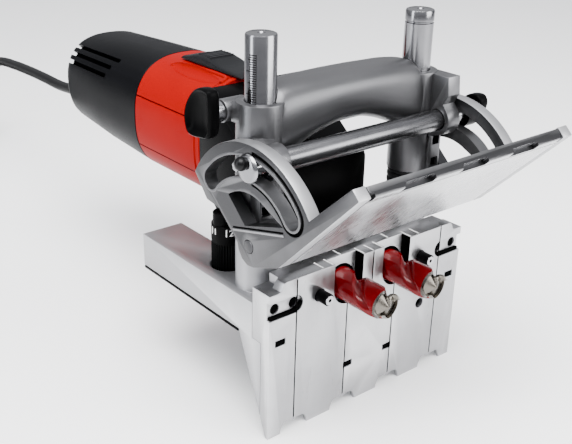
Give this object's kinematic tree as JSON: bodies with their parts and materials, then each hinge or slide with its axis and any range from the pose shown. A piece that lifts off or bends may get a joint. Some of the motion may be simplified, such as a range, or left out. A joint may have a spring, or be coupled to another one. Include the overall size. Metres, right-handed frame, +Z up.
{
  "type": "twin-spindle dowel jointer",
  "caption": "Corded dowel jointer: red motor drives side-by-side spur bits through a slotted alloy front plate, with height columns, tilting fence and depth turret.",
  "frame": {"origin": "middle of the narrow foot strip along the bottom edge of the front plate, on the surface the tool stands on", "axes": "X across the tool between the drills, Y from the work towards the motor, Z up the height columns"},
  "size_m": [0.1727, 0.6466, 0.187],
  "materials": {
    "plate_alloy": "ground and polished",
    "cast_alloy": "blasted casting with machined edges",
    "polished_steel": "ground and polished",
    "dark_steel": "blackened",
    "black_plastic": "fine-grained moulding",
    "cord_sheath": "smooth flexible sheath",
    "grey_plastic": "moulded",
    "red_plastic": "semi-gloss moulding",
    "crimson_coat": "glossy coating with bare ground tip",
    "copper_winding": "bare copper segments",
    "lamination_steel": "stacked sheet",
    "rubber": "moulded",
    "brass": "turned"
  },
  "bodies": {
    "base": {"front_plate": "plate_alloy", "arm_left": "cast_alloy", "arm_right": "cast_alloy", "base_cover": "black_plastic", "column_left": "polished_steel", "column_right": "polished_steel", "wiper_ring_left": "rubber", "wiper_ring_right": "rubber", "guide_rod_left": "polished_steel", "guide_rod_right": "polished_steel", "return_spring_left": "dark_steel", "return_spring_right": "dark_steel"},
    "turret": {"turret_stop": "black_plastic"},
    "pin_left": {"locating_pin_left": "dark_steel"},
    "pin_right": {"locating_pin_right": "dark_steel"},
    "carriage": {"bridge": "cast_alloy", "tilt_bar": "polished_steel", "pivot_pin_left": "polished_steel", "pivot_pin_right": "polished_steel", "tilt_bolt_left": "polished_steel", "tilt_bolt_right": "polished_steel"},
    "fence": {"fence_plate": "plate_alloy", "fence_quadrant_left": "cast_alloy", "fence_quadrant_right": "cast_alloy"},
    "height_clamp": {"height_lever": "black_plastic", "height_clamp_stud": "polished_steel"},
    "tilt_clamp": {"tilt_lever": "black_plastic"},
    "motor_unit": {"gear_cover": "black_plastic", "gear_housing": "black_plastic", "motor_housing": "red_plastic", "rear_cap": "black_plastic", "switch_module": "grey_plastic", "stator": "lamination_steel", "bearing_bridge": "grey_plastic", "brush_holder_left": "brass", "brush_holder_right": "brass", "bearing_front": "polished_steel", "bearing_rear": "polished_steel", "spindle_bearing_left": "polished_steel", "spindle_bearing_right": "polished_steel", "slide_shoe_left": "grey_plastic", "slide_shoe_right": "grey_plastic", "depth_stop_pad": "grey_plastic", "strain_relief": "rubber", "cord_tube": "cord_sheath", "cord_coil": "cord_sheath", "cord_tail": "cord_sheath", "plug": "black_plastic"},
    "switch": {"slide_switch": "grey_plastic"},
    "rotor": {"rotor_shaft": "polished_steel", "armature": "lamination_steel", "commutator": "copper_winding", "fan": "black_plastic", "pinion": "polished_steel"},
    "idler": {"idler_gear": "polished_steel"},
    "drill_left": {"spindle_left": "dark_steel", "drill_bit_left": "crimson_coat"},
    "drill_right": {"spindle_right": "dark_steel", "drill_bit_right": "crimson_coat"}
  },
  "joints": [
    {"name": "plunge", "type": "slide", "parent": "base", "child": "motor_unit", "axis": [0, 1, 0], "range_m": [0, 0.04], "stiffness_N_per_m": 400, "springref_m": 0.05},
    {"name": "height", "type": "slide", "parent": "base", "child": "carriage", "axis": [0, 0, 1], "range_m": [0, 0.025]},
    {"name": "fence_tilt", "type": "hinge", "parent": "carriage", "child": "fence", "pos_m": [0, 0.0109, 0.098], "axis": [1, 0, 0], "range_deg": [-45, 45]},
    {"name": "height_lever_turn", "type": "hinge", "parent": "carriage", "child": "height_clamp", "pos_m": [-0.066, 0.038, 0.152], "axis": [1, 0, 0], "range_deg": [-20, 70]},
    {"name": "tilt_lever_turn", "type": "hinge", "parent": "carriage", "child": "tilt_clamp", "pos_m": [0.07, 0.0109, 0.1345], "axis": [1, 0, 0], "range_deg": [-60, 30]},
    {"name": "turret_turn", "type": "hinge", "parent": "base", "child": "turret", "pos_m": [-0.049, 0.051, 0.075], "axis": [0, 0, 1], "continuous": true},
    {"name": "pin_left_press", "type": "slide", "parent": "base", "child": "pin_left", "axis": [0, 1, 0], "range_m": [0, 0.0068], "stiffness_N_per_m": 300},
    {"name": "pin_right_press", "type": "slide", "parent": "base", "child": "pin_right", "axis": [0, 1, 0], "range_m": [0, 0.0068], "stiffness_N_per_m": 300},
    {"name": "switch_slide", "type": "slide", "parent": "motor_unit", "child": "switch", "axis": [0, 1, 0], "range_m": [-0.006, 0]},
    {"name": "rotor_spin", "type": "hinge", "parent": "motor_unit", "child": "rotor", "pos_m": [0, 0.128, 0.112], "axis": [0, 1, 0], "continuous": true},
    {"name": "idler_spin", "type": "hinge", "parent": "motor_unit", "child": "idler", "pos_m": [0, 0.0685, 0.088], "axis": [0, 1, 0], "continuous": true},
    {"name": "drill_left_spin", "type": "hinge", "parent": "motor_unit", "child": "drill_left", "pos_m": [-0.016, 0.03, 0.0676], "axis": [0, 1, 0], "continuous": true},
    {"name": "drill_right_spin", "type": "hinge", "parent": "motor_unit", "child": "drill_right", "pos_m": [0.016, 0.03, 0.0676], "axis": [0, 1, 0], "continuous": true}
  ],
  "couplings": [
    {"joint": "idler_spin", "follows": "rotor_spin", "ratio": -0.5},
    {"joint": "drill_left_spin", "follows": "rotor_spin", "ratio": 0.8},
    {"joint": "drill_right_spin", "follows": "rotor_spin", "ratio": 0.8}
  ]
}
